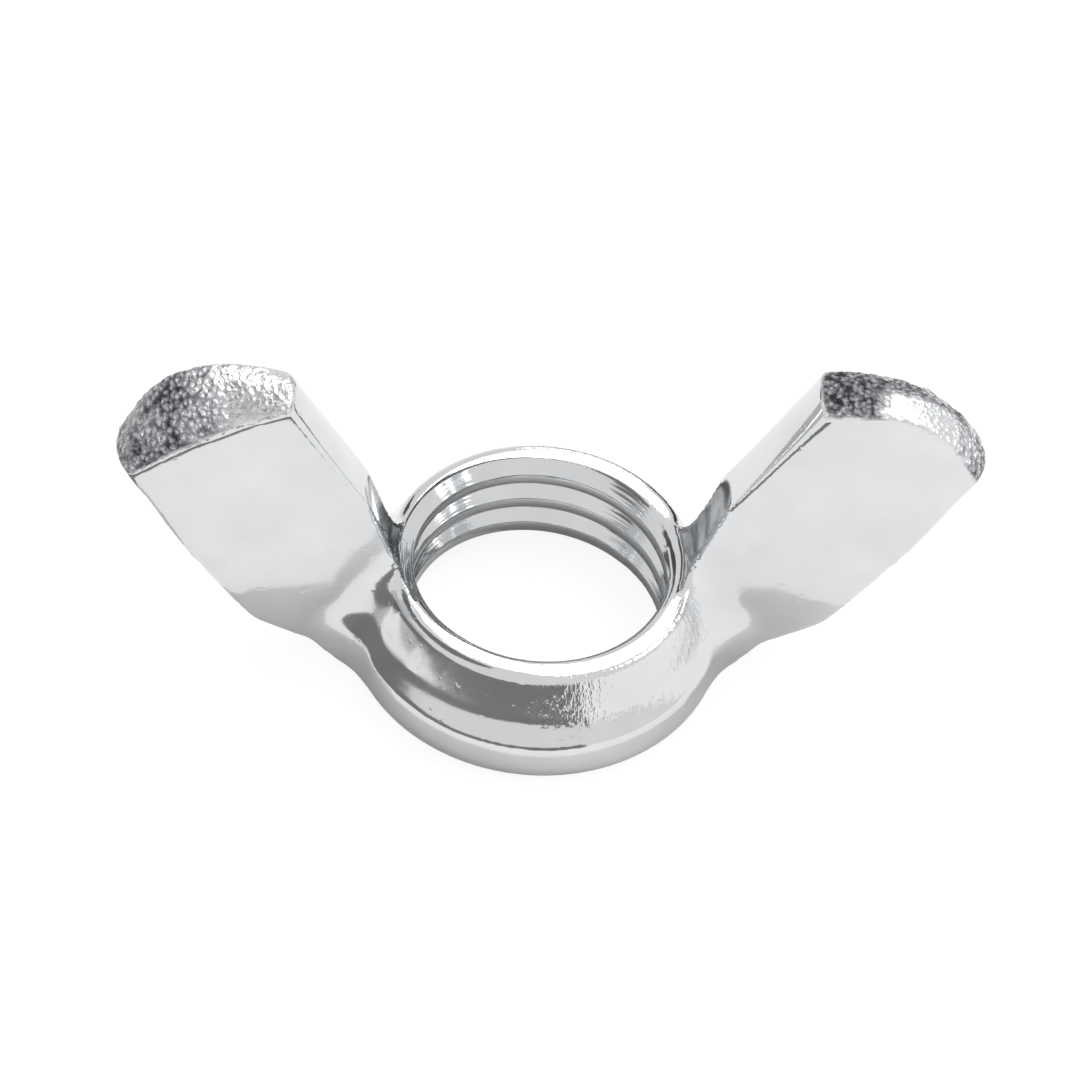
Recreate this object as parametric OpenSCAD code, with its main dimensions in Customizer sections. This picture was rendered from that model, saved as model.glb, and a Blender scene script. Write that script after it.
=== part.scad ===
// Wing nut, cold-forged pattern with an M16 x 2 right-hand thread.
// The origin is the middle of the flat face that bears on the work.
// +Z is the way the bolt comes through, and the wings lie along X.

/* [Thread] */
// Nominal diameter of the bolt, and of the roots of the nut's thread
thread_d = 16; // [15.5:0.1:16.2]
// Diameter of the bored hole, at the crests of the nut's thread
bore_d = 14; // [13.8:0.1:14.2]
// Distance between two turns
thread_pitch = 2; // [1.5:0.1:2]
// Depth of the countersink on the bearing face
bottom_sink_depth = 0.5; // [0.3:0.1:0.8]
// Depth of the countersink at the top of the boss
top_sink_depth = 0.4; // [0.3:0.1:0.5]

/* [Boss] */
// Diameter of the collar at the foot of the boss
collar_d = 20.6; // [20:0.1:22]
// Height of the collar, up to the end of its round shoulder
collar_h = 3; // [2.8:0.1:3.4]
// Diameter where the neck meets the collar's shoulder
neck_foot_d = 18.7; // [18.2:0.1:18.8]
// Diameter at the top of the neck
neck_top_d = 16.9; // [16.8:0.1:17.2]
// Height of the boss
boss_h = 6.6; // [6.4:0.1:8]
// Radius of the edge round the bearing face
foot_round = 0.8; // [0.3:0.1:1]
// Radius of the edge round the top
top_round = 0.5; // [0.3:0.1:0.6]

/* [Wings] */
// Distance between the outer corners of the two wings
wing_span = 45.6; // [44:0.2:48]
// Height of those outer corners
wing_corner_h = 15.6; // [15:0.1:16.4]
// Slope of the wings, from the bearing face
wing_slope = 58.5; // [57:0.5:60]
// Width of a wing, across its slope
wing_w = 9.5; // [9:0.1:10]
// How much further out the lower corner of the tip lies than its upper one
tip_skew = 0.55; // [0:0.05:0.8]
// How far the rounded tip stands out of the line between its corners
tip_crown = 1.75; // [1:0.05:2]
// Thickness of a wing at its root
root_t = 2.8; // [2.4:0.1:3.2]
// Thickness of a wing at its tip
tip_t = 4.1; // [3.6:0.1:4.4]
// Radius of the fillet between a wing's side and the boss
root_fillet = 2.2; // [1.5:0.1:2.6]
// Distance from the outer corner, down the slope, to the bend in the lower edge
heel_run = 14.6; // [13.6:0.1:15]

/* [Hidden] */

ROUND_STEPS = 6;
TIP_STEPS = 10;
THREAD_STEPS = 32;
BOSS_FACETS = 96;

thread_r = thread_d / 2;
bore_r = bore_d / 2;
collar_r = collar_d / 2;
bottom_sink_r = bore_r + bottom_sink_depth * tan(60);
top_sink_r = bore_r + top_sink_depth * tan(60);
shoulder_r = 1.1;
shoulder_turn = 60;
neck_foot_z = collar_h + 0.6;

// Points of an arc in the plane of a profile
function arc(centre, r, from, to, steps = ROUND_STEPS) = [
    for (i = [0 : steps])
        let (a = from + (to - from) * i / steps)
        [centre.x + r * cos(a), centre.y + r * sin(a)]
];

// The boss as one half section, from the axis outwards: x is the radius and y is the height
boss_section = concat(
    [[0, 0]],
    arc([collar_r - foot_round, foot_round], foot_round, -90, 0),
    arc([collar_r - shoulder_r, collar_h - shoulder_r * sin(shoulder_turn)], shoulder_r, 0, shoulder_turn),
    [[neck_foot_d / 2, neck_foot_z]],
    arc([neck_top_d / 2 - top_round, boss_h - top_round], top_round, 15, 90),
    [[0, boss_h]]
);

// What the bore and its two countersinks take out of the boss
over = 1;
bore_section = [
    [0, -over],
    [bottom_sink_r + over * tan(60), -over],
    [bore_r, bottom_sink_depth],
    [bore_r, boss_h - top_sink_depth],
    [top_sink_r + over * tan(60), boss_h + over],
    [0, boss_h + over]
];

// The helical groove: a 60 degree vee with a flat root, run in past the bore's wall
flank = tan(30);
groove_in_r = bore_r - 0.3;
crest_w = thread_pitch / 4;
groove_half_bore = (thread_pitch - crest_w) / 2;
groove_half_in = groove_half_bore + (bore_r - groove_in_r) * flank;
groove_half_root = groove_half_bore - (thread_r - bore_r) * flank;
groove_start_z = -1.5;
groove_end_z = boss_h + 1.5;
groove_rings = ceil((groove_end_z - groove_start_z) / thread_pitch * THREAD_STEPS);
groove_corners = [
    [groove_in_r, -groove_half_in],
    [thread_r, -groove_half_root],
    [thread_r, groove_half_root],
    [groove_in_r, groove_half_in]
];

function groove_point(ring, corner) =
    let (turn = ring * 360 / THREAD_STEPS)
    let (rise = groove_start_z + ring * thread_pitch / THREAD_STEPS)
    [corner[0] * cos(turn), corner[0] * sin(turn), corner[1] + rise];

// Wing outline in the XZ plane, for the wing on +X
along = [cos(wing_slope), sin(wing_slope)];
across = [-sin(wing_slope), cos(wing_slope)];
outer_corner = [wing_span / 2, wing_corner_h];
inner_corner = outer_corner + wing_w * across - tip_skew * along;
heel = outer_corner - heel_run * along;
foot_z = 0.3;
heel_foot = [collar_r + 0.6, foot_z];
inner_foot_x = 4;
inner_foot = inner_corner - (inner_corner.x - inner_foot_x) / along.x * along;

chord = norm(inner_corner - outer_corner);
tip_r = (chord * chord / 4 + tip_crown * tip_crown) / (2 * tip_crown);
chord_dir = (inner_corner - outer_corner) / chord;
tip_out = [chord_dir.y, -chord_dir.x];
tip_centre = (inner_corner + outer_corner) / 2 - (tip_r - tip_crown) * tip_out;
tip_half_turn = asin(chord / 2 / tip_r);
tip_mid_turn = atan2(tip_out.y, tip_out.x);

wing_outline = concat(
    [[inner_foot_x, foot_z], heel_foot, heel],
    arc(tip_centre, tip_r, tip_mid_turn - tip_half_turn, tip_mid_turn + tip_half_turn, TIP_STEPS),
    [inner_foot]
);

// Half of a wing's plan, from its middle line outwards: a plain plate that thickens towards its tip
plan_end_x = wing_span / 2 + 2;
plate_half_plan = [
    [0, root_t / 2],
    [collar_r + root_fillet, root_t / 2],
    [outer_corner.x, tip_t / 2],
    [plan_end_x, tip_t / 2]
];

// The same for the gusset at the root: a fillet that spreads the plate onto the boss
fillet_end_x = collar_r + 1.6;
gusset_half_plan = concat(
    [[0, root_t / 2 + root_fillet]],
    arc([fillet_end_x, root_t / 2 + root_fillet], root_fillet, 180, 270)
);
gusset_top_z = boss_h - top_round;

// The whole plan, closed with the other half's points in the opposite order
function both_halves(half) = concat(
    half,
    [for (i = [len(half) - 1 : -1 : 0]) [half[i].x, -half[i].y]]
);

module boss_body() {
    rotate_extrude($fn = BOSS_FACETS) polygon(boss_section);
}

module bore_cut() {
    rotate_extrude($fn = BOSS_FACETS) polygon(bore_section);
}

module thread_cut() {
    points = [for (ring = [0 : groove_rings]) for (corner = groove_corners) groove_point(ring, corner)];
    sides = [
        for (ring = [0 : groove_rings - 1])
        for (k = [0 : 3])
            let (a = ring * 4 + k, b = ring * 4 + (k + 1) % 4)
            [a, b, b + 4, a + 4]
    ];
    last = groove_rings * 4;
    ends = [[3, 2, 1, 0], [last, last + 1, last + 2, last + 3]];
    polyhedron(points, concat(sides, ends), convexity = 10);
}

module hub() {
    color("gainsboro")
    difference() {
        boss_body();
        bore_cut();
        thread_cut();
    }
}

module wing_profile() {
    rotate([90, 0, 0]) linear_extrude(height = 20, center = true) polygon(wing_outline);
}

// The wing on +X: a plate and its gusset, less the boss and the bolt's way
module wing() {
    difference() {
        union() {
            intersection() {
                wing_profile();
                linear_extrude(height = 30) polygon(both_halves(plate_half_plan));
            }
            intersection() {
                wing_profile();
                linear_extrude(height = gusset_top_z) polygon(both_halves(gusset_half_plan));
            }
        }
        boss_body();
        translate([0, 0, -over]) cylinder(r = thread_r, h = 30, $fn = BOSS_FACETS);
    }
}

module right_wing() {
    color("lightgray") wing();
}

module left_wing() {
    color("lightgray") rotate([0, 0, 180]) wing();
}

hub();
left_wing();
right_wing();
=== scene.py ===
# %% [markdown]
# # A forged wing nut
# A wing nut is one piece of steel. A short bar is pressed hot or cold between two dies, which squeeze out a
# round boss and two flat wings. The thin skirt of spare metal is sheared off at the tips, the boss is bored,
# countersunk and tapped, and the whole nut is plated with zinc. These cells follow the same order: the forging
# comes first, then the cutting, and the plating last.
#
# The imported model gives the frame. Everything is in metres, +Z is the way the bolt comes out, and the wings
# lie along X.

import math

import bmesh
import bpy
from mathutils import Matrix, Vector


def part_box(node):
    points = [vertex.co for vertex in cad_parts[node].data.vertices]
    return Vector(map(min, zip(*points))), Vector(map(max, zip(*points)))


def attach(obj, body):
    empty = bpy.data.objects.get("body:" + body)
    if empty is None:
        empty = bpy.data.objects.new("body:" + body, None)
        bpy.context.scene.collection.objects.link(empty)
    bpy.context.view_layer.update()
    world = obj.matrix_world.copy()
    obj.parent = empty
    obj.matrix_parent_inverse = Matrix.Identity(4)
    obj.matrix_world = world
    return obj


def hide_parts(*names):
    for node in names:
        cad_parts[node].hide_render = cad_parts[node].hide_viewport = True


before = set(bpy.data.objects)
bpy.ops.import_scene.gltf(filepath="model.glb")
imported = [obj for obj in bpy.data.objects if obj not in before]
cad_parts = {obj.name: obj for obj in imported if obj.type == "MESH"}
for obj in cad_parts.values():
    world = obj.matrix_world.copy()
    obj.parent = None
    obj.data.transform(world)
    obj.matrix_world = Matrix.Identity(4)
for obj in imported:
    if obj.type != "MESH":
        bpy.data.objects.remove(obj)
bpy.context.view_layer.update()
hub_low, hub_high = (Vector(corner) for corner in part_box("hub"))
wing_low, wing_high = (Vector(corner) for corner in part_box("right_wing"))
MM = 0.001
print("hub", hub_low, hub_high, "right wing", wing_low, wing_high)

# %% [markdown]
# ## Tools of the bench
# A few helpers do what a hand does in edit mode: start a mesh, pick vertices by their place, and apply a
# modifier. Every piece starts with nothing selected, because operators act on all that is selected.

# %% Helpers for edit mode
def start_piece(name):
    """Adds a tiny plane and collapses it to one vertex at the origin, left open in edit mode."""
    if bpy.context.object and bpy.context.object.mode != "OBJECT":
        bpy.ops.object.mode_set(mode="OBJECT")
    bpy.ops.object.select_all(action="DESELECT")
    bpy.ops.mesh.primitive_plane_add(size=MM)
    piece = bpy.context.object
    piece.name = piece.data.name = name
    bpy.ops.object.mode_set(mode="EDIT")
    bpy.ops.mesh.select_mode(type="VERT")
    bpy.ops.mesh.merge(type="CENTER")
    return piece


def move(x=0.0, y=0.0, z=0.0):
    bpy.ops.transform.translate(value=(x, y, z))


def draw_path(name, points, closed=False):
    """Extrudes one vertex from point to point, and joins the last to the first if the path is closed."""
    piece = start_piece(name)
    move(*points[0])
    for here, there in zip(points, points[1:]):
        step = tuple(b - a for a, b in zip(here, there))
        bpy.ops.mesh.extrude_region_move(TRANSFORM_OT_translate={"value": step})
    if closed:
        ends = (Vector(points[0]), Vector(points[-1]))
        pick(piece, lambda co: min((co - end).length for end in ends) < MM / 1000)
        bpy.ops.mesh.edge_face_add()
    bpy.ops.mesh.select_all(action="SELECT")
    return piece


def upright(corners):
    """Puts flat corners in the plane of X and Z."""
    return [(corner[0], 0, corner[1]) for corner in corners]


def pick(piece, wanted):
    """Selects only the vertices that wanted(co) picks, and returns how many there are."""
    shape = bmesh.from_edit_mesh(piece.data)
    for vert in shape.verts:
        vert.select_set(False)
    for edge in shape.edges:
        edge.select_set(False)
    for face in shape.faces:
        face.select_set(False)
    chosen = [vert for vert in shape.verts if wanted(vert.co)]
    for vert in chosen:
        vert.select_set(True)
    shape.select_flush(True)
    bmesh.update_edit_mesh(piece.data)
    return len(chosen)


def clean(piece):
    """Merges doubles, turns every face outwards and leaves edit mode."""
    bpy.ops.mesh.select_all(action="SELECT")
    bpy.ops.mesh.remove_doubles(threshold=MM / 1000)
    bpy.ops.mesh.normals_make_consistent(inside=False)
    bpy.ops.object.mode_set(mode="OBJECT")
    print(piece.name, len(piece.data.vertices), "vertices")
    return piece


def make_active(piece):
    bpy.ops.object.select_all(action="DESELECT")
    piece.select_set(True)
    bpy.context.view_layer.objects.active = piece


def use_modifier(piece, kind, **values):
    """Adds a modifier, sets its values and applies it."""
    make_active(piece)
    modifier = piece.modifiers.new(kind.lower(), kind)
    for key, value in values.items():
        setattr(modifier, key, value)
    bpy.ops.object.modifier_apply(modifier=modifier.name)


def copy_of(piece, name):
    """A copy with its own mesh."""
    make_active(piece)
    bpy.ops.object.duplicate(linked=False)
    twin = bpy.context.object
    twin.name = twin.data.name = name
    return twin


def arc(centre, radius, start, end, steps):
    """Points of an arc in the plane of X and Z, with its angles in degrees."""
    turns = [math.radians(start + (end - start) * k / steps) for k in range(steps + 1)]
    return [(centre[0] + radius * math.cos(t), centre[1] + radius * math.sin(t)) for t in turns]


# %% [markdown]
# ## The boss
# The boss is a body of revolution: a low collar that bears on the work, a round shoulder, and a neck that
# tapers to a rounded rim. On a lathe it would be turned from a template, and the spin tool does the same: half
# a section is drawn once and swept round the axis. The bore is left for later, as it is on the real forging.

# %% Boss
SPIN_STEPS = 192
collar_r = hub_high.x
boss_h = hub_high.z
foot_round = 0.8 * MM
collar_round = 0.45 * MM
top_round = 0.45 * MM
neck_top_r = 8.55 * MM
neck_foot = (9.42 * MM, 3.9 * MM)
NECK_LEAN = 23

boss_section = (
    [(0, 0)]
    + arc((collar_r - foot_round, foot_round), foot_round, -90, 0, 6)
    + arc((collar_r - collar_round, 2.45 * MM), collar_round, 0, 50, 5)
    + [neck_foot]
    + arc((neck_top_r - top_round, boss_h - top_round), top_round, NECK_LEAN, 90, 8)
    + [(0, boss_h)]
)


def spin_section(name, section):
    """Sweeps an open half section once round Z into a closed solid."""
    piece = draw_path(name, upright(section))
    bpy.ops.mesh.spin(steps=SPIN_STEPS, angle=2 * math.pi, center=(0, 0, 0), axis=(0, 0, 1))
    return clean(piece)


boss = spin_section("boss", boss_section)

# %% [markdown]
# ## The wings
# A wing is a flat plate with a straight inner edge, and a lower edge that bends at the heel towards the foot
# of the boss. It is thicker at its outer corner. The tip is where the flash was sheared off, so it bulges a
# little between its corners, and not equally on the two faces. The outline is drawn once, filled and pulled
# through the plate's thickness in thin layers, which leaves loops to crown the tip with.

# %% Outline of a wing
slope = math.radians(58.5)
along = Vector((math.cos(slope), math.sin(slope)))
across = Vector((-math.sin(slope), math.cos(slope)))
wing_w = 9.5 * MM
tip_skew = 0.55 * MM
outer_corner = Vector((wing_high.x, 15.6 * MM))
inner_corner = outer_corner + wing_w * across - tip_skew * along
heel = Vector((15.55, 2.95)) * MM
heel_foot = Vector((collar_r + 0.6 * MM, 0.25 * MM))
edge_bow = 0.4 * MM
lower_edge = [
    heel.lerp(outer_corner, k / 6) - across * (edge_bow * 4 * (k / 6) * (1 - k / 6)) for k in range(6)
]
inner_bend = inner_corner - (inner_corner.x - 9.8 * MM) / along.x * along
inner_foot = [inner_bend, Vector((8.6, 10.75)) * MM, Vector((7.4, 9.4)) * MM, Vector((5.0, 8.0)) * MM]
tip_out = Vector((inner_corner.y - outer_corner.y, outer_corner.x - inner_corner.x)).normalized()
tip_side = Vector((tip_out.y, -tip_out.x))
TIP_POINTS = 12
LAYERS = 8

tip_line = [outer_corner.lerp(inner_corner, k / TIP_POINTS) for k in range(TIP_POINTS + 1)]
wing_corners = [Vector((5.0, 0.25)) * MM, heel_foot] + lower_edge + tip_line + inner_foot


def half_thickness(x):
    """Half the plate's thickness: 1.4 mm at the root, and more towards the outer corner."""
    grown = max(0.0, (x - 12.5 * MM) / (outer_corner.x - 12.5 * MM))
    return (1.4 + 0.65 * grown) * MM


# %% Plate of a wing
DOME = 0.6 * MM


def wing_plate(name, front_crown, back_crown, back_swell):
    """A wing on +X. The crowns say how far its tip bulges at the front and the back face."""
    piece = draw_path(name, upright(wing_corners), closed=True)
    bpy.ops.mesh.edge_face_add()
    move(y=-1)
    for layer in range(LAYERS):
        bpy.ops.mesh.extrude_region_move(TRANSFORM_OT_translate={"value": (0, 2 / LAYERS, 0)})
    for corner in wing_corners:
        pick(piece, lambda co: (Vector((co.x, co.z)) - corner).length < MM / 100)
        bpy.ops.transform.resize(value=(1, half_thickness(corner.x), 1), center_override=(0, 0, 0))
    for k, station in enumerate(tip_line):
        share = k / TIP_POINTS
        bow = 4 * share * (1 - share)
        half = half_thickness(station.x)
        for layer in range(LAYERS + 1):
            level = 2 * layer / LAYERS - 1
            crown = front_crown + (back_crown - front_crown) * (level + 1) / 2
            dome = DOME * (1 - level * level)
            out = tip_out * (crown * bow + dome * (0.6 + 0.4 * bow)) + tip_side * dome * (1 - 2 * share) ** 3
            pick(piece, lambda co: (Vector((co.x, co.z)) - station).length < MM / 100
                 and abs(co.y - level * half) < MM / 100)
            move(out.x, back_swell * max(0, level) * share, out.y)
    return clean(piece)


right_plate = wing_plate("right_plate", 2.0 * MM, 1.4 * MM, 0.5 * MM)
left_plate = wing_plate("left_plate", 2.5 * MM, 0.3 * MM, 0.0)

# %% [markdown]
# ## The roots
# Metal flows badly round a sharp corner in the die, so each wing spreads as it meets the boss. At every
# height, the spread is an arc that touches both the round boss and the flat side of the wing. It is widest at
# the collar, and above the rim it fades up the sides of the wing. A closed outline is drawn at each height, and
# the outlines are bridged into one solid.

# %% Spread at the root of a wing
ROOT_LEVELS = [  # height, radius of the boss, radius of the arc, share of the spread
    (0.25, 10.30, 4.4, 1.00), (1.20, 10.30, 4.4, 1.00), (2.40, 10.25, 4.2, 1.00), (3.20, 9.95, 3.8, 1.00),
    (4.00, 9.35, 3.4, 1.00), (5.20, 8.90, 2.9, 1.00), (6.10, 8.55, 2.5, 1.00), (6.55, 8.25, 2.4, 1.00),
    (6.95, 8.20, 2.4, 0.62), (7.40, 8.20, 2.4, 0.34), (8.00, 8.20, 2.4, 0.14), (8.80, 8.20, 2.4, 0.01),
]
ARC_STEPS = 10
PLATE_HALF = 1.4


def root_outline(height, boss_r, arc_r, share):
    """The closed outline of the spread at one height, in mm: an arc and its mirror image."""
    centre_y = PLATE_HALF + arc_r
    centre_x = math.sqrt((boss_r + arc_r) ** 2 - centre_y ** 2)
    start = math.atan2(-centre_y, -centre_x) + 2 * math.pi
    farthest = (heel_foot.x + (height * MM - heel_foot.y) * (heel.x - heel_foot.x) / (heel.y - heel_foot.y)) / MM
    side = []
    for k in range(ARC_STEPS + 1):
        turn = start + (1.5 * math.pi - start) * k / ARC_STEPS
        x = min(centre_x + arc_r * math.cos(turn), farthest)
        run = min(arc_r, centre_x - x)
        y = centre_y - math.sqrt(arc_r ** 2 - run ** 2)
        side.append((x, PLATE_HALF + (y - PLATE_HALF) * share))
    side.insert(0, (5.0, side[0][1]))
    return [(x, y, height) for x, y in side] + [(x, -y, height) for x, y in reversed(side)]


def wing_root(name):
    loops = []
    for level in ROOT_LEVELS:
        loop = draw_path(name, [Vector(p) * MM for p in root_outline(*level)], closed=True)
        bpy.ops.object.mode_set(mode="OBJECT")
        loops.append(loop)
    make_active(loops[0])
    for loop in loops:
        loop.select_set(True)
    bpy.ops.object.join()
    piece = bpy.context.object
    bpy.ops.object.mode_set(mode="EDIT")
    for below, above in zip(ROOT_LEVELS, ROOT_LEVELS[1:]):
        pick(piece, lambda co: min(abs(co.z / MM - below[0]), abs(co.z / MM - above[0])) < 0.01)
        bpy.ops.mesh.bridge_edge_loops()
    bpy.ops.mesh.select_all(action="SELECT")
    bpy.ops.mesh.fill_holes(sides=0)
    return clean(piece)


right_root = wing_root("right_root")
left_root = wing_root("left_root")


def half_turn(piece):
    """Turns a piece round Z to the other side of the nut."""
    make_active(piece)
    bpy.ops.object.mode_set(mode="EDIT")
    bpy.ops.mesh.select_all(action="SELECT")
    bpy.ops.transform.rotate(value=math.pi, orient_axis="Z", center_override=(0, 0, 0))
    bpy.ops.object.mode_set(mode="OBJECT")


for piece in (left_plate, left_root):
    half_turn(piece)

# %% [markdown]
# ## One forging
# The real nut has no seams, and its corners are soft. So the five solids are joined and remeshed, which melts
# them into one skin of small even squares. A short smoothing rounds the free edges, and a longer one, only
# where wing and boss meet, draws the deep fillets of the die.

# %% Melt the solids into one skin
def melt(piece, voxel):
    use_modifier(piece, "REMESH", mode="VOXEL", voxel_size=voxel, adaptivity=0, use_smooth_shade=True)
    print(piece.name, len(piece.data.polygons), "faces")


def smooth_steps(width, voxel):
    """Passes of smoothing, at half strength, that blur the skin over a width."""
    return round(4 * (width / voxel) ** 2)


ROUGH_VOXEL = 0.2 * MM
FINE_VOXEL = 0.16 * MM
make_active(boss)
for piece in (right_plate, left_plate, right_root, left_root):
    piece.select_set(True)
bpy.ops.object.join()
forging = boss
forging.name = forging.data.name = "forging"
melt(forging, ROUGH_VOXEL)

# %% Fillets and soft edges
def boss_radius(z):
    """Radius of the boss's outside at a height."""
    low, high = neck_foot[1], boss_h
    if z < low:
        return collar_r
    return neck_foot[0] + (neck_top_r - neck_foot[0]) * min(1, (z - low) / (high - low))


ROOT_REACH = 3.0 * MM
root = forging.vertex_groups.new(name="root")
for vert in forging.data.vertices:
    co = vert.co
    off_boss = max(0, math.hypot(co.x, co.y) - boss_radius(co.z))
    off_boss = math.hypot(off_boss, max(0, co.z - boss_h))
    off_wing = max(0, abs(co.y) - 1.5 * MM)
    near = 1 - (off_boss + off_wing) / ROOT_REACH
    if near > 0 and abs(co.x) > 5 * MM and co.z > 0.6 * MM:
        root.add([vert.index], min(1, 1.6 * near) * min(1, (co.z / MM - 0.6) / 1.2), "REPLACE")
use_modifier(forging, "SMOOTH", factor=0.5, iterations=smooth_steps(0.6 * MM, ROUGH_VOXEL), vertex_group="root")
use_modifier(forging, "SMOOTH", factor=0.5, iterations=smooth_steps(0.2 * MM, ROUGH_VOXEL))

# %% [markdown]
# ## Piercing
# The drill, the two countersinks and the clearance between the wings are cut before the thread. The drill
# and its countersinks are one spun section. The clearance is a tapered cutter that slopes the foot of each
# wing up from the rim and leaves room for the bolt. The skin is then remeshed finer, so that these edges are
# as soft as the tumbled edges of the real nut.

# %% Drill, countersinks and clearance
bore_r = 7.0 * MM
drill_r = bore_r - 0.05 * MM
drill = spin_section("drill", [
    (0, -1.5 * MM), (10.5 * MM, -1.5 * MM), (7.95 * MM, 0), (drill_r, 0.6 * MM),
    (drill_r, boss_h - 0.3 * MM), (7.35 * MM, boss_h), (7.4 * MM, 14 * MM), (0, 14 * MM)])
make_active(drill)
bpy.ops.object.select_all(action="DESELECT")
bpy.ops.mesh.primitive_cone_add(vertices=SPIN_STEPS, radius1=7.75 * MM, radius2=10.6 * MM, depth=8 * MM,
                                location=(0, 0, boss_h + 0.05 * MM + 4 * MM))
clearance = bpy.context.object
for cutter in (drill, clearance):
    use_modifier(forging, "BOOLEAN", operation="DIFFERENCE", object=cutter, solver="EXACT")
    bpy.data.objects.remove(cutter)
melt(forging, FINE_VOXEL)
use_modifier(forging, "SMOOTH", factor=0.5, iterations=smooth_steps(0.13 * MM, FINE_VOXEL))

# %% [markdown]
# ## The sheared tips
# Where the flash was torn off, the metal is left rough: pits and ridges a few tenths of a millimetre across.
# The tips are found by their place and by the way they face. They get a mask, which the finish uses later,
# and a shallow displacement by a cloud pattern, so that the roughness is in the shape as well. The mask is
# cut back where a tip catches the light, so the dark colour it brings to the tips is partly painted shade.

# %% Torn grain on the tips
def ramp(value, low, high):
    return min(1, max(0, (value - low) / (high - low)))


def tip_mask(piece):
    """Fills the attribute and vertex group torn: up to 1 on a tip's end face, and 0 elsewhere."""
    values = []
    chord = (inner_corner - outer_corner).length
    for vert in piece.data.vertices:
        side = math.copysign(1, vert.co.x)
        outwards = Vector((tip_out.x * side, 0, tip_out.y))
        inwards = Vector((-tip_side.x * side, 0, -tip_side.y))
        from_corner = vert.co - Vector((outer_corner.x * side, 0, outer_corner.y))
        if from_corner.dot(outwards) < -1.2 * MM:
            values.append(0)
            continue
        share = from_corner.dot(inwards) / chord
        level = vert.co.y / half_thickness(abs(vert.co.x))
        value = ramp(vert.normal.dot(outwards), 0.35, 0.65)
        # Painted light: the mask, and with it the painted shade of the tip, is cut back where a tip catches the
        # light, on the front of the right tip and towards the inner corner of the left one.
        if side > 0:
            lit_share = ramp(share, 0.12, 0.3) * ramp(0.8, share, 0.1 + share) * ramp(0.35 - level, 0, 0.5)
            value *= 1 - 0.85 * lit_share
        else:
            value *= 1 - 0.8 * ramp(share, 0.45, 0.7)
        values.append(value)
    torn = piece.data.attributes.new("torn", "FLOAT", "POINT")
    torn.data.foreach_set("value", values)
    group = piece.vertex_groups.new(name="torn")
    for index, value in enumerate(values):
        if value > 0:
            group.add([index], value, "REPLACE")
    print("torn vertices", sum(value > 0 for value in values))


tip_mask(forging)
grain = bpy.data.textures.new("torn_grain", "CLOUDS")
grain.noise_scale = 0.34 * MM
grain.noise_depth = 2
ridges = bpy.data.textures.new("torn_ridges", "CLOUDS")
ridges.noise_scale = 1.5 * MM
for pattern, strength in ((grain, 0.2 * MM), (ridges, 0.25 * MM)):
    use_modifier(forging, "DISPLACE", texture=pattern, texture_coords="LOCAL", strength=strength,
                 mid_level=0.5, vertex_group="torn")

# %% [markdown]
# ## Tapping
# The thread is cut the way a tap cuts it: a solid with the tap's own shape is made and taken away. Its
# teeth are one small outline swept along a screw line, 2 mm up for each right-hand turn.

# %% Tap
PITCH = 2.0 * MM
TURNS = 6
root_r = 7.8 * MM
tooth = [(bore_r, 0.05), (bore_r, 0.70), (bore_r + 0.05 * MM, 0.78), (root_r - 0.05 * MM, 1.19),
         (root_r, 1.26), (root_r, 1.50), (root_r - 0.05 * MM, 1.57), (bore_r + 0.05 * MM, 1.98),
         (bore_r, 2.05)]
tap = draw_path("tap", upright([(r, z * MM - 1.7 * MM) for r, z in tooth]))
bpy.ops.object.mode_set(mode="OBJECT")
use_modifier(tap, "SCREW", axis="Z", angle=2 * math.pi, screw_offset=PITCH, iterations=TURNS,
             steps=SPIN_STEPS, render_steps=SPIN_STEPS, use_merge_vertices=True, merge_threshold=MM / 1000)
bpy.ops.object.mode_set(mode="EDIT")
bpy.ops.mesh.select_all(action="SELECT")
bpy.ops.mesh.remove_doubles(threshold=MM / 1000)
bpy.ops.mesh.fill_holes(sides=0)
clean(tap)
use_modifier(forging, "BOOLEAN", operation="DIFFERENCE", object=tap, solver="EXACT")
print("tapped", len(forging.data.polygons), "faces")

# %% [markdown]
# ## Three named pieces
# The nut is one piece of metal, but its boss and its wings are kept as pieces of their own, so that each can
# have its own finish. A plain cylinder cuts the skin just outside the collar and just above the rim. The
# small squares of the skin are the same on both sides, so the cut doesn't show.
#
# A Boolean on a dense skin can fail without a word and leave an empty or an open mesh, and a cutter a tenth of
# a millimetre larger then often works. So each cut is measured. It counts only if the parts are closed and
# their volumes add up to the whole, and otherwise the next size of cutter is tried.

# %% Cut the forging at the roots
def measure(piece):
    """Returns how many edges are open, and the volume in cubic millimetres."""
    shape = bmesh.new()
    shape.from_mesh(piece.data)
    open_edges = sum(len(edge.link_faces) != 2 for edge in shape.edges)
    volume = shape.calc_volume(signed=True) / MM ** 3
    shape.free()
    return open_edges, volume


def part_with_cylinder(whole, margin):
    """Copies of the metal inside and outside a cylinder, margin wider than the collar, or None if unsound."""
    bpy.ops.object.select_all(action="DESELECT")
    bpy.ops.mesh.primitive_cylinder_add(vertices=256, radius=collar_r + margin, depth=8 * MM,
                                        location=(0, 0, boss_h + margin + 0.1 * MM - 4 * MM))
    cutter = bpy.context.object
    parts = []
    for name, operation in (("hub_body", "INTERSECT"), ("wings", "DIFFERENCE")):
        parts.append(copy_of(whole, name))
        use_modifier(parts[-1], "BOOLEAN", operation=operation, object=cutter, solver="EXACT")
    bpy.data.objects.remove(cutter)
    (inner_open, inner), (outer_open, outer) = (measure(part) for part in parts)
    total = measure(whole)[1]
    print("margin", round(margin / MM, 2), "open", inner_open, outer_open, "volumes", round(inner), round(outer),
          "of", round(total))
    if inner_open or outer_open or min(inner, outer) < 0.2 * total or abs(inner + outer - total) > 0.002 * total:
        for part in parts:
            bpy.data.objects.remove(part)
        return None
    return parts


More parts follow.
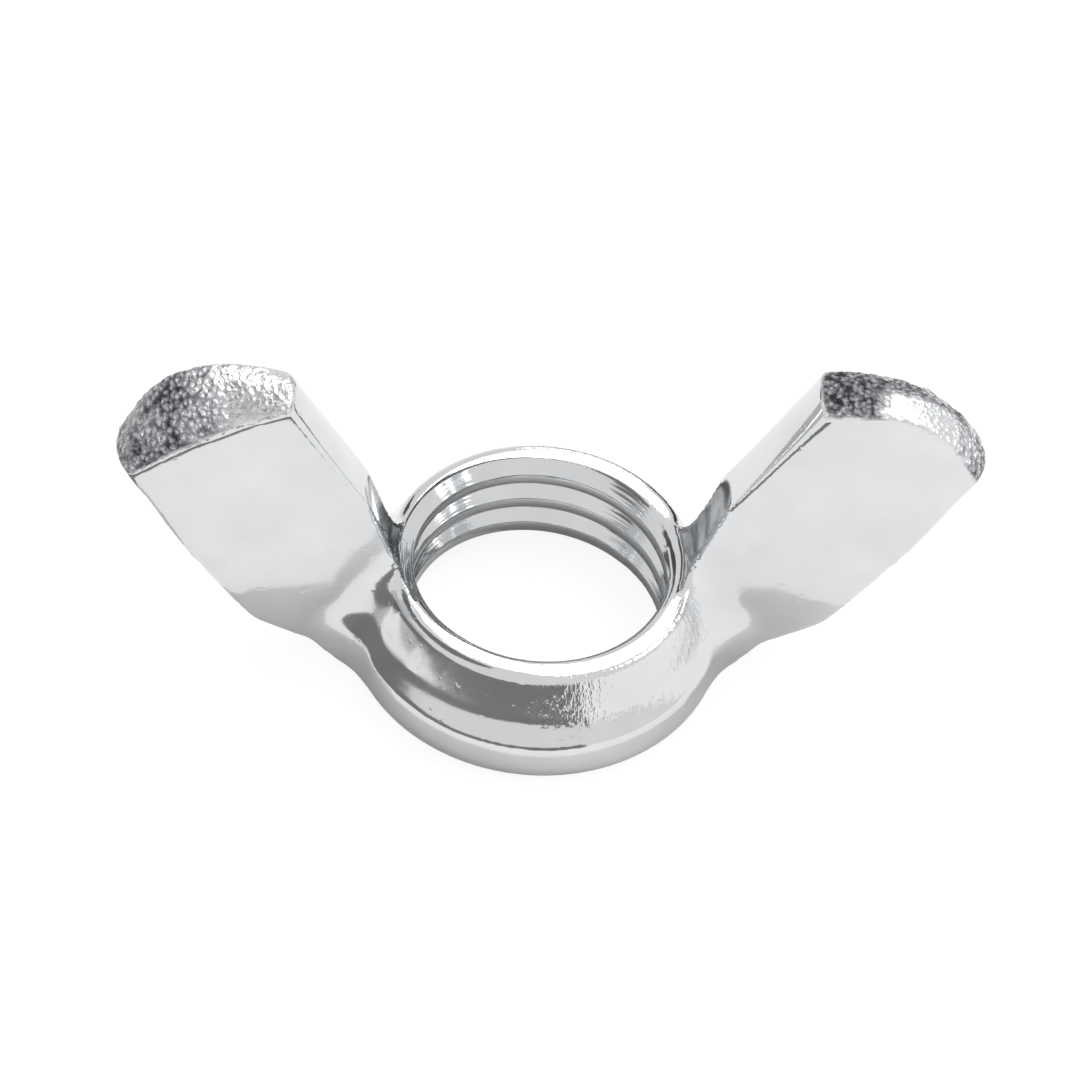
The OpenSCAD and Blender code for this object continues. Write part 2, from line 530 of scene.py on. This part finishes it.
def keep_side(piece, side):
    """Cuts away the half of the mesh on the other side of the plane x = 0."""
    make_active(piece)
    bpy.ops.object.mode_set(mode="EDIT")
    pick(piece, lambda co: co.x * side < 0)
    bpy.ops.mesh.delete(type="VERT")
    bpy.ops.object.mode_set(mode="OBJECT")
    return piece


print("forging open edges and volume", measure(forging))
for margin in (0.20, 0.23, 0.17, 0.26, 0.29, 0.14, 0.32, 0.35, 0.38, 0.41):
    parts = part_with_cylinder(forging, margin * MM)
    if parts:
        break
else:
    raise RuntimeError("no cutter parted the forging soundly")
hub, wings = parts
right = copy_of(wings, "right_wing_body")
left = keep_side(wings, -1)
left.name = left.data.name = "left_wing_body"
keep_side(right, 1)
for tool in (tap, forging):
    bpy.data.objects.remove(tool)
for piece in (hub, left, right):
    make_active(piece)
    bpy.ops.object.shade_smooth_by_angle(angle=math.radians(38))
    open_edges, volume = measure(piece)
    print(piece.name, len(piece.data.polygons), "faces", open_edges, "open edges", round(volume), "cubic mm")
    if open_edges:
        raise RuntimeError(piece.name + " is open")

# %% [markdown]
# ## Zinc plate
# Bright zinc is a thin, slightly blue-white metal skin. It mirrors what stands round it, but the forging
# under it is never quite smooth: it waves softly, it is hazier in some patches, and it has small pits. This
# skin is used on the boss and on the wings, so it is a node group with its own values in each finish.

# %% Node helpers
def noise(tree, vector, scale, detail=2.0, rough=0.5):
    node = tree.nodes.new("ShaderNodeTexNoise")
    node.inputs["Scale"].default_value = scale
    node.inputs["Detail"].default_value = detail
    node.inputs["Roughness"].default_value = rough
    tree.links.new(vector, node.inputs["Vector"])
    return node.outputs["Fac"]


def maths(tree, operation, first, second=None, clamp=False):
    node = tree.nodes.new("ShaderNodeMath")
    node.operation = operation
    node.use_clamp = clamp
    for socket, value in zip(node.inputs, (first, second)):
        if value is None:
            continue
        if isinstance(value, (int, float)):
            socket.default_value = value
        else:
            tree.links.new(value, socket)
    return node.outputs[0]


def remap(tree, value, low, high, to_low=0.0, to_high=1.0):
    node = tree.nodes.new("ShaderNodeMapRange")
    node.clamp = True
    for name, number in (("From Min", low), ("From Max", high), ("To Min", to_low), ("To Max", to_high)):
        node.inputs[name].default_value = number
    tree.links.new(value, node.inputs["Value"])
    return node.outputs["Result"]


def blend(tree, factor, first, second):
    """Mixes two colours. Each may be a socket or a colour."""
    node = tree.nodes.new("ShaderNodeMix")
    node.data_type = "RGBA"
    tree.links.new(factor, node.inputs["Factor"])
    for socket, value in ((node.inputs[6], first), (node.inputs[7], second)):
        if isinstance(value, tuple):
            socket.default_value = (*value, 1)
        else:
            tree.links.new(value, socket)
    return node.outputs[2]


# %% Zinc skin, a shared node group
skin = bpy.data.node_groups.new("zinc_skin", "ShaderNodeTree")
skin.interface.new_socket(name="Vector", in_out="INPUT", socket_type="NodeSocketVector")
for name, value in (("Wave", 1.0), ("Pits", 1.0)):
    socket = skin.interface.new_socket(name=name, in_out="INPUT", socket_type="NodeSocketFloat")
    socket.default_value = value
for name in ("Tone", "Haze", "Height"):
    skin.interface.new_socket(name=name, in_out="OUTPUT", socket_type="NodeSocketFloat")
given = skin.nodes.new("NodeGroupInput")
made = skin.nodes.new("NodeGroupOutput")
place = given.outputs["Vector"]
patches = noise(skin, place, 260, 3, 0.55)
fine = noise(skin, place, 2600, 3, 0.6)
wave = noise(skin, place, 420, 1, 0.4)
pits = remap(skin, noise(skin, place, 1500, 2, 0.5), 0.28, 0.36)
skin.links.new(maths(skin, "MULTIPLY", remap(skin, patches, 0.3, 0.7), remap(skin, fine, 0.25, 0.75, 0.85, 1)),
               made.inputs["Tone"])
skin.links.new(maths(skin, "MULTIPLY", remap(skin, patches, 0.35, 0.75), remap(skin, fine, 0.2, 0.8)),
               made.inputs["Haze"])
waved = maths(skin, "MULTIPLY", wave, given.outputs["Wave"])
pitted = maths(skin, "MULTIPLY", maths(skin, "MULTIPLY", pits, 0.25), given.outputs["Pits"])
skin.links.new(maths(skin, "ADD", maths(skin, "ADD", waved, pitted), maths(skin, "MULTIPLY", fine, 0.03)),
               made.inputs["Height"])


def new_finish(name):
    """A metal with its Principled shader, and the sockets that every finish starts from."""
    finish = bpy.data.materials.new(name)
    finish.use_nodes = True
    tree = finish.node_tree
    shader = tree.nodes["Principled BSDF"]
    shader.inputs["Metallic"].default_value = 1.0
    place = tree.nodes.new("ShaderNodeTexCoord").outputs["Object"]
    group = tree.nodes.new("ShaderNodeGroup")
    group.node_tree = skin
    tree.links.new(place, group.inputs["Vector"])
    return finish, tree, shader, place, group


def bump(tree, shader, height, distance, strength=1.0):
    node = tree.nodes.new("ShaderNodeBump")
    node.inputs["Distance"].default_value = distance
    node.inputs["Strength"].default_value = strength
    tree.links.new(height, node.inputs["Height"])
    tree.links.new(node.outputs["Normal"], shader.inputs["Normal"])
    return node


# %% [markdown]
# ## Finish of the boss
# The die leaves faint upright drag marks in patches on the neck, away from the left wing, and the drill
# and the tap leave rings in the countersinks and on the thread. Both follow the boss round, so they are made
# from the angle and the radius about the axis, worked out from the place of each point.

# %% Finish of the boss
BRIGHT = (0.71, 0.72, 0.73)
DULL = (0.65, 0.66, 0.67)
plated_boss, tree, shader, place, group = new_finish("plated_boss")
group.inputs["Wave"].default_value = 0.5
group.inputs["Pits"].default_value = 0.3
split = tree.nodes.new("ShaderNodeSeparateXYZ")
tree.links.new(place, split.inputs[0])
x, y, z = split.outputs
radius = maths(tree, "SQRT", maths(tree, "ADD", maths(tree, "MULTIPLY", x, x), maths(tree, "MULTIPLY", y, y)))
join = tree.nodes.new("ShaderNodeCombineXYZ")
tree.links.new(maths(tree, "DIVIDE", x, radius), join.inputs[0])
tree.links.new(maths(tree, "DIVIDE", y, radius), join.inputs[1])
tree.links.new(maths(tree, "MULTIPLY", z, 40), join.inputs[2])
drag = noise(tree, join.outputs[0], 34, 2, 0.6)
rings = tree.nodes.new("ShaderNodeCombineXYZ")
tree.links.new(radius, rings.inputs[0])
tree.links.new(z, rings.inputs[1])
ringed = noise(tree, rings.outputs[0], 6000, 1, 0.5)
outside = remap(tree, radius, 8.05 * MM, 8.25 * MM)
patchy = maths(tree, "MULTIPLY", remap(tree, noise(tree, place, 110, 1, 0.4), 0.44, 0.56),
               remap(tree, x, -2.5 * MM, -1.0 * MM))
on_neck = maths(tree, "MULTIPLY", maths(tree, "MULTIPLY", outside, patchy), remap(tree, z, 3.0 * MM, 3.8 * MM))
inside = maths(tree, "SUBTRACT", 1.0, outside)
tree.links.new(blend(tree, group.outputs["Tone"], DULL, BRIGHT), shader.inputs["Base Color"])
tree.links.new(maths(tree, "ADD", maths(tree, "MULTIPLY", group.outputs["Haze"], 0.14), 0.07),
               shader.inputs["Roughness"])
drag_marks = maths(tree, "MULTIPLY", maths(tree, "MULTIPLY", drag, on_neck), 1.2)
ring_marks = maths(tree, "MULTIPLY", maths(tree, "MULTIPLY", ringed, inside), 0.25)
height = maths(tree, "ADD", maths(tree, "ADD", group.outputs["Height"], drag_marks), ring_marks)
bump(tree, shader, height, 0.05 * MM)

# %% [markdown]
# ## Finish of the wings
# The flat sides are the smoothest part of the nut. Towards the torn tips, the mask mixes in a rough, darker
# grain: cells with raised rims, broken up by fine noise. Its near-black colour is partly torn grain and partly
# painted shade.

# %% Finish of the wings
plated_wing, tree, shader, place, group = new_finish("plated_wing")
group.inputs["Wave"].default_value = 0.5
group.inputs["Pits"].default_value = 0.3
mask = tree.nodes.new("ShaderNodeAttribute")
mask.attribute_name = "torn"
uneven = remap(tree, noise(tree, place, 500, 2, 0.6), 0.3, 0.5, 0.35, 1)
broken = maths(tree, "MULTIPLY", mask.outputs["Fac"], uneven)
cells = tree.nodes.new("ShaderNodeTexVoronoi")
cells.feature = "F1"
cells.inputs["Scale"].default_value = 3000
tree.links.new(place, cells.inputs["Vector"])
grit = noise(tree, place, 5200, 3, 0.65)
dark = remap(tree, maths(tree, "ADD", maths(tree, "MULTIPLY", cells.outputs["Distance"], 0.6),
                         maths(tree, "MULTIPLY", grit, 0.6)), 0.35, 0.75)
plated = blend(tree, group.outputs["Tone"], DULL, BRIGHT)
# Torn grain whose near-black colour is partly painted shade, standing in for the dark that the rough tips show
# out of the light.
torn_grain_and_painted_shade = blend(tree, dark, (0.62, 0.63, 0.65), (0.06, 0.06, 0.07))
tree.links.new(blend(tree, broken, plated, torn_grain_and_painted_shade), shader.inputs["Base Color"])
smooth_haze = maths(tree, "ADD", maths(tree, "MULTIPLY", group.outputs["Haze"], 0.12), 0.08)
rough = maths(tree, "ADD", smooth_haze, maths(tree, "MULTIPLY", broken, 0.22))
tree.links.new(rough, shader.inputs["Roughness"])
coarse = maths(tree, "MULTIPLY", maths(tree, "ADD", cells.outputs["Distance"], grit),
               maths(tree, "MULTIPLY", broken, 8.0))
bump(tree, shader, maths(tree, "ADD", group.outputs["Height"], coarse), 0.05 * MM)

for piece, finish in ((hub, plated_boss), (left, plated_wing), (right, plated_wing)):
    piece.data.materials.clear()
    piece.data.materials.append(finish)

# %% [markdown]
# ## Replacing the parts
# Each new piece rides on the one body, and the imported part that it replaces is hidden.

# %% Ride and replace
for piece, node, slot in ((hub, "hub", "plated_boss"), (left, "left_wing", "plated_wing"),
                          (right, "right_wing", "plated_wing")):
    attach(piece, "root")
    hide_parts(node)

# %% [markdown]
# ## Stage
# The nut stands on a plain white floor, under a large soft box and a small one at the side. A mirror-like
# metal shows what is round it, and in an all white room it would look like paper. So grey and dark cards
# stand, lie and hang round the nut. They are seen only in reflections, and draw the dark band on the neck
# and the grey of the thread.

# %% Floor, light and cards
def plain(name, colour, roughness=0.9):
    finish = bpy.data.materials.new(name)
    finish.use_nodes = True
    shader = finish.node_tree.nodes["Principled BSDF"]
    shader.inputs["Base Color"].default_value = (*colour, 1)
    shader.inputs["Roughness"].default_value = roughness
    shader.inputs["Specular IOR Level"].default_value = 0.0
    return finish


bpy.ops.object.select_all(action="DESELECT")
bpy.ops.mesh.primitive_plane_add(size=6)
floor = bpy.context.object
floor.name = "floor"
white_floor = plain("white_floor", (0.15, 0.15, 0.15))
glow = white_floor.node_tree.nodes["Principled BSDF"]
glow.inputs["Emission Color"].default_value = (1, 1, 1, 1)
glow.inputs["Emission Strength"].default_value = 0.88
floor.data.materials.append(white_floor)

world = bpy.data.worlds.new("white_room")
world.use_nodes = True
world.node_tree.nodes["Background"].inputs["Color"].default_value = (1, 1, 1, 1)
world.node_tree.nodes["Background"].inputs["Strength"].default_value = 0.9
bpy.context.scene.world = world


def soft_box(name, place, size, power):
    """A square area light that looks at the nut."""
    bpy.ops.object.light_add(type="AREA", location=place)
    lamp = bpy.context.object
    lamp.name = name
    lamp.data.size = size
    lamp.data.energy = power
    lamp.rotation_euler = (-Vector(place)).to_track_quat("-Z", "Y").to_euler()
    return lamp


soft_box("key_light", (0.20, 0.28, 0.55), 0.5, 3.5)
soft_box("side_light", (0.48, -0.12, 0.34), 0.2, 0.5)


def show_in_reflections_only(piece, name, grey):
    """Gives a card its grey, and hides it from all but mirror-like surfaces."""
    piece.data.materials.append(plain(name, (grey, grey, grey)))
    piece.visible_camera = False
    piece.visible_diffuse = False
    piece.visible_shadow = False


def card(name, distance, start, end, low, high, grey, foot=0.01 * MM):
    """A curved dark card round the nut, from one compass angle to another, with a foot towards the nut."""
    piece = start_piece(name)
    way = Vector((math.cos(math.radians(start)), math.sin(math.radians(start)), 0))
    move(*(way * (distance - foot)))
    move(z=low)
    bpy.ops.mesh.extrude_region_move(TRANSFORM_OT_translate={"value": way * foot})
    bpy.ops.mesh.extrude_region_move(TRANSFORM_OT_translate={"value": (0, 0, high - low)})
    bpy.ops.mesh.select_all(action="SELECT")
    bpy.ops.mesh.spin(steps=24, angle=math.radians(start - end), center=(0, 0, 0), axis=(0, 0, 1))
    bpy.ops.object.mode_set(mode="OBJECT")
    show_in_reflections_only(piece, name, grey)
    return piece


# Compass angles run from +X towards +Y, so the front is at 270
card("front_card", 30 * MM, 178, 291, 0.1 * MM, 5.6 * MM, 0.18, 2.6 * MM)
card("left_card", 70 * MM, 155, 195, 1 * MM, 22 * MM, 0.45)
card("back_card", 70 * MM, 112, 155, 22 * MM, 50 * MM, 0.08)
card("far_card", 70 * MM, 50, 82, 1 * MM, 24 * MM, 0.05)


def floor_shade(name, centre, size, grey):
    """A flat grey card just above the floor, seen only in reflections."""
    bpy.ops.object.select_all(action="DESELECT")
    bpy.ops.mesh.primitive_plane_add(size=1)
    piece = bpy.context.object
    piece.name = name
    bpy.ops.object.mode_set(mode="EDIT")
    bpy.ops.transform.resize(value=(size[0], size[1], 1), center_override=(0, 0, 0))
    bpy.ops.mesh.bevel(offset=min(size) * 0.45, segments=8, affect="VERTICES")
    move(*centre)
    bpy.ops.object.mode_set(mode="OBJECT")
    show_in_reflections_only(piece, name, grey)
    return piece


floor_shade("wing_shade", (0, 0, 0.04 * MM), (38 * MM, 13 * MM), 0.7)
floor_shade("boss_shade", (0, 0, 0.05 * MM), (24.5 * MM, 24.5 * MM), 0.66)
floor_shade("bore_shade", (2.6 * MM, 3.0 * MM, 0.07 * MM), (11 * MM, 9 * MM), 0.45)
floor_shade("left_shade", (-26.5 * MM, -4.5 * MM, 0.06 * MM), (9 * MM, 8 * MM), 0.5)

# %% Card that hangs over the left wing
upper = floor_shade("upper_card", (0, 0, 0), (84 * MM, 84 * MM), 0.2)
make_active(upper)
bpy.ops.object.mode_set(mode="EDIT")
bpy.ops.mesh.select_all(action="SELECT")
bpy.ops.transform.rotate(value=math.radians(35), orient_axis="Y", center_override=(0, 0, 0))
move(-72 * MM, -14 * MM, 108 * MM)
bpy.ops.object.mode_set(mode="OBJECT")

# %% [markdown]
# ## Camera
# The camera looks down at about half a right angle, with a long lens, so that the wings hardly taper with
# distance. It is tilted a little about its own axis.

# %% Camera
elevation, turned, tilt = (math.radians(a) for a in (49.33, 6.87, 5.81))
target = Vector((-0.2 * MM, 0, 8.2 * MM))
away = Vector((-math.cos(elevation) * math.sin(turned), -math.cos(elevation) * math.cos(turned),
               math.sin(elevation)))
bpy.ops.object.camera_add()
camera = bpy.context.object
camera.data.lens = 245
camera.data.sensor_width = 36
camera.data.clip_start = 0.01
look = (-away).to_track_quat("-Z", "Y").to_matrix() @ Matrix.Rotation(tilt, 3, "Z")
camera.matrix_world = Matrix.Translation(target + 0.4 * away) @ look.to_4x4()
bpy.context.scene.camera = camera
bpy.context.scene.view_settings.view_transform = "Standard"
